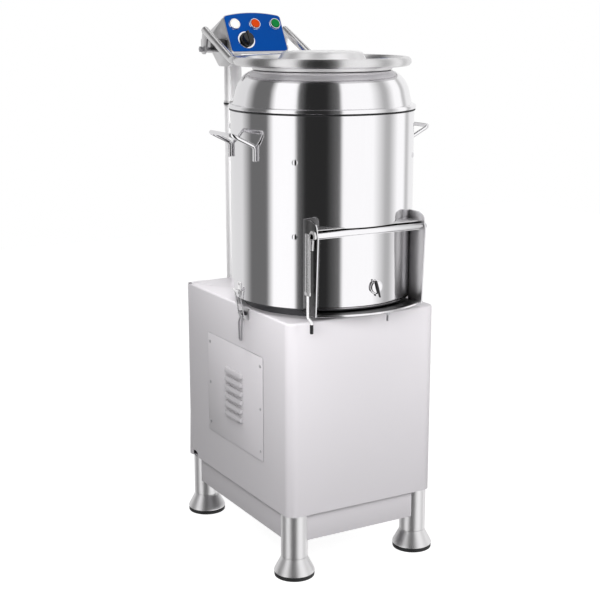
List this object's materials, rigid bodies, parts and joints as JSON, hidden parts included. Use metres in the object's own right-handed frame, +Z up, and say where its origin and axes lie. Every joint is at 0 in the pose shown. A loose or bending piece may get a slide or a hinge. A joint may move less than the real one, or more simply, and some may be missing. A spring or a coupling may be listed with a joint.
{
  "type": "potato peeling machine",
  "caption": "Floor-standing abrasive potato peeler: polished drum with domed hood and lid on a louvred steel cabinet, sloping control head behind, discharge door in front.",
  "frame": {"origin": "on the floor, under the middle of the machine's bounding box", "axes": "+Z up; the discharge door and the control fascia face -Y; +X to the right of a person who faces the fascia"},
  "size_m": [0.5132, 0.6134, 1.2278],
  "materials": {
    "powder_steel": "satin",
    "polished_steel": "polished",
    "brushed_steel": "brushed",
    "galvanised_steel": "dull",
    "black_steel": "semi-gloss",
    "black_rubber": "matt",
    "black_plastic": "satin",
    "blue_plastic": "satin",
    "white_plastic": "gloss",
    "red_plastic": "gloss",
    "green_plastic": "gloss",
    "grey_plastic": "satin",
    "abrasive": "coarse grit",
    "cast_housing": "painted",
    "motor_paint": "satin"
  },
  "bodies": {
    "machine": {"cabinet_shell": "powder_steel", "base_frame": "galvanised_steel", "skirt": "powder_steel", "leg_1": "brushed_steel", "leg_2": "brushed_steel", "leg_3": "brushed_steel", "leg_4": "brushed_steel", "foot_bells": "brushed_steel", "foot_pads": "black_rubber", "access_panel": "powder_steel", "panel_screws": "galvanised_steel", "base_pan": "black_steel", "drum_shell": "polished_steel", "abrasive_liner": "abrasive", "liner_screws": "polished_steel", "rim_gasket": "black_rubber", "hood": "polished_steel", "handles": "brushed_steel", "chute_cheeks": "brushed_steel", "chute_floor": "brushed_steel", "lip_stud": "galvanised_steel", "latch_catches": "polished_steel", "latch_bases": "black_steel", "column": "brushed_steel", "column_clamps": "brushed_steel", "head_bracket": "brushed_steel", "control_box": "brushed_steel", "fascia": "blue_plastic", "hinge_shaft": "brushed_steel", "lid_switch": "black_plastic", "bezels": "polished_steel", "lamp_lens": "white_plastic", "bearing_housing": "cast_housing", "bearings": "galvanised_steel", "motor_bracket": "galvanised_steel", "motor_body": "motor_paint", "drive_belt": "black_rubber", "drain_pipe": "grey_plastic", "water_inlet": "brushed_steel"},
    "lid": {"lid_ring": "polished_steel", "lid_arms": "brushed_steel", "lid_disc": "brushed_steel", "lid_crown": "polished_steel"},
    "door": {"door_plate": "polished_steel", "door_bar": "polished_steel", "door_lever": "brushed_steel", "lever_sleeve": "black_plastic"},
    "door_catch": {"turn_latch": "polished_steel"},
    "lever_left": {"latch_lever_left": "polished_steel"},
    "bail_left": {"latch_bail_left": "polished_steel"},
    "lever_right": {"latch_lever_right": "polished_steel"},
    "bail_right": {"latch_bail_right": "polished_steel"},
    "stop": {"stop_button": "red_plastic"},
    "start": {"start_button": "green_plastic"},
    "timer": {"timer_knob": "black_plastic"},
    "spindle": {"turntable": "abrasive", "cap_nut": "polished_steel", "main_shaft": "galvanised_steel", "big_pulley": "cast_housing"},
    "motor_rotor": {"motor_pulley": "cast_housing"}
  },
  "joints": [
    {"name": "lid_hinge", "type": "hinge", "parent": "machine", "child": "lid", "pos_m": [-0.044, 0.22225, 1.144], "axis": [-1, 0, 0], "range_deg": [0, 95]},
    {"name": "door_hinge", "type": "hinge", "parent": "machine", "child": "door", "pos_m": [0, -0.27075, 0.773], "axis": [-1, 0, 0], "range_deg": [0, 100]},
    {"name": "door_catch_turn", "type": "hinge", "parent": "door", "child": "door_catch", "pos_m": [0.014, -0.27175, 0.65], "axis": [0, 1, 0], "range_deg": [0, 90]},
    {"name": "latch_lever_left_hinge", "type": "hinge", "parent": "machine", "child": "lever_left", "pos_m": [-0.201, -0.05475, 0.572], "axis": [0, 1, 0], "range_deg": [0, 130]},
    {"name": "latch_bail_left_hinge", "type": "hinge", "parent": "lever_left", "child": "bail_left", "pos_m": [-0.201, -0.05475, 0.566], "axis": [0, 1, 0], "range_deg": [-130, 0]},
    {"name": "latch_lever_right_hinge", "type": "hinge", "parent": "machine", "child": "lever_right", "pos_m": [0.201, -0.05475, 0.572], "axis": [0, -1, 0], "range_deg": [0, 130]},
    {"name": "latch_bail_right_hinge", "type": "hinge", "parent": "lever_right", "child": "bail_right", "pos_m": [0.201, -0.05475, 0.566], "axis": [0, -1, 0], "range_deg": [-130, 0]},
    {"name": "stop_button_press", "type": "slide", "parent": "machine", "child": "stop", "axis": [0, 0.8821, -0.4711], "range_m": [0, 0.004], "stiffness_N_per_m": 400, "springref_m": -0.001},
    {"name": "start_button_press", "type": "slide", "parent": "machine", "child": "start", "axis": [0, 0.8821, -0.4711], "range_m": [0, 0.004], "stiffness_N_per_m": 400, "springref_m": -0.001},
    {"name": "timer_turn", "type": "hinge", "parent": "machine", "child": "timer", "pos_m": [-0.0737, 0.1532, 1.16543], "axis": [0, 0.8821, -0.4711], "range_deg": [0, 300]},
    {"name": "turntable_spin", "type": "hinge", "parent": "machine", "child": "spindle", "pos_m": [0, -0.06675, 0.6], "axis": [0, 0, 1], "continuous": true},
    {"name": "motor_spin", "type": "hinge", "parent": "machine", "child": "motor_rotor", "pos_m": [0, 0.14825, 0.392], "axis": [0, 0, 1], "continuous": true}
  ],
  "couplings": [
    {"joint": "latch_bail_left_hinge", "follows": "latch_lever_left_hinge", "ratio": -1},
    {"joint": "latch_bail_right_hinge", "follows": "latch_lever_right_hinge", "ratio": -1},
    {"joint": "motor_spin", "follows": "turntable_spin", "ratio": 3.8462}
  ]
}
